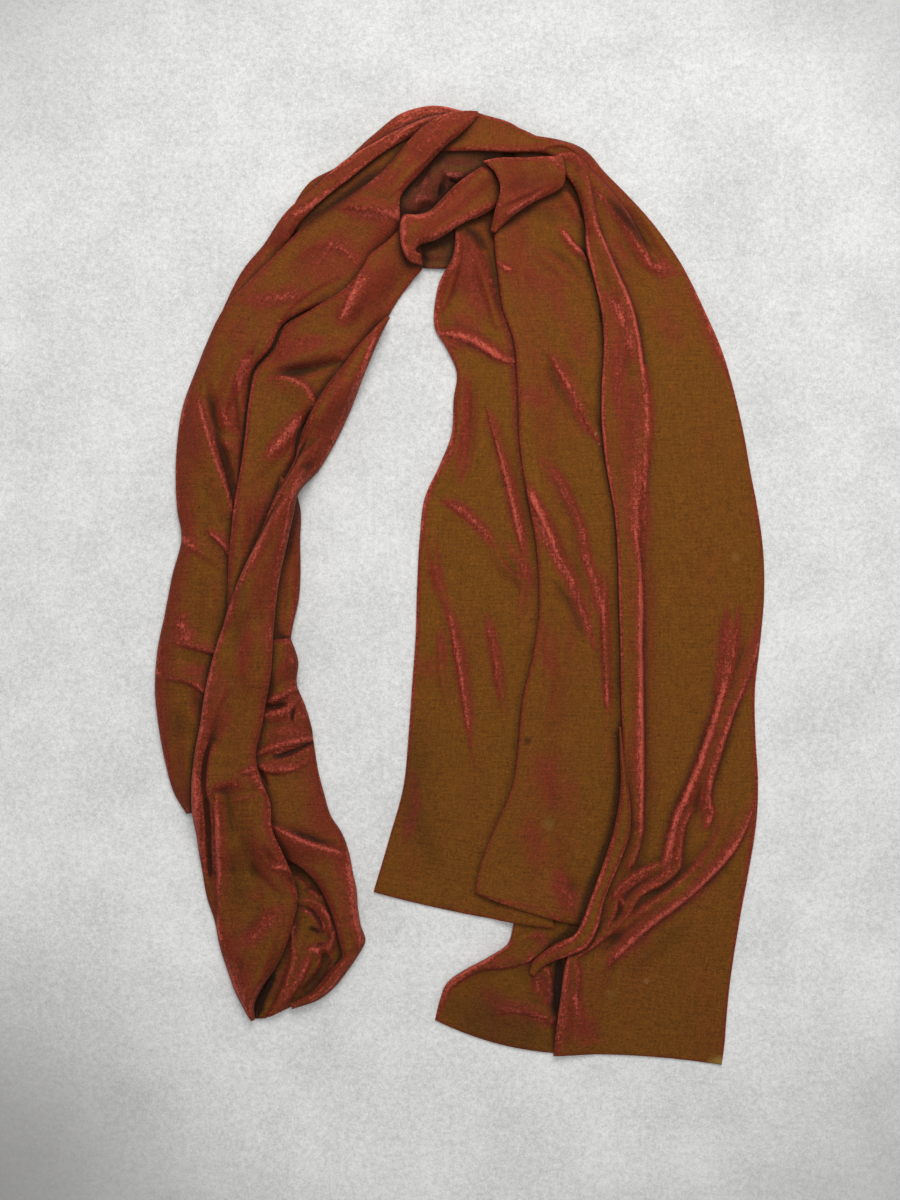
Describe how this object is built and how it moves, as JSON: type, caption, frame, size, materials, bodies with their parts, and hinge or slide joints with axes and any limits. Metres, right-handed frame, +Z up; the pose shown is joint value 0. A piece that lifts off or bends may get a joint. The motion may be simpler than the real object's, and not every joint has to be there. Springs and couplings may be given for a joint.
{
  "type": "long velvet scarf",
  "caption": "Long doubled velvet scarf, folded in half and laid down flat in an arch with a tucked twist at its top.",
  "frame": {"origin": "middle of the scarf's outline, on the surface that it lies on", "axes": "+Y along the scarf from the hems up to the arch, +X to the right as seen from above, +Z up from the surface"},
  "size_m": [0.4256, 0.6695, 0.0315],
  "materials": {
    "velvet": "shot silk velvet, olive-brown ground with a red pile that shows on slopes and folds",
    "velvet_deep": "the same velvet in deep shade, inside the twist and under the layers"
  },
  "bodies": {
    "root": {"hidden_arch": "velvet_deep", "hidden_leg": "velvet_deep", "arch_back": "velvet", "arch_outer": "velvet", "twist_inner": "velvet_deep", "twist_under": "velvet_deep", "tail_flap": "velvet", "tail_short_lower": "velvet", "tail_short_upper": "velvet", "tail_long": "velvet", "tail_gather": "velvet", "run_outer": "velvet", "run_middle": "velvet", "run_inner": "velvet", "bight_inner": "velvet", "run_return": "velvet", "run_front": "velvet", "twist_strap": "velvet", "twist_cuff": "velvet"}
  },
  "joints": []
}
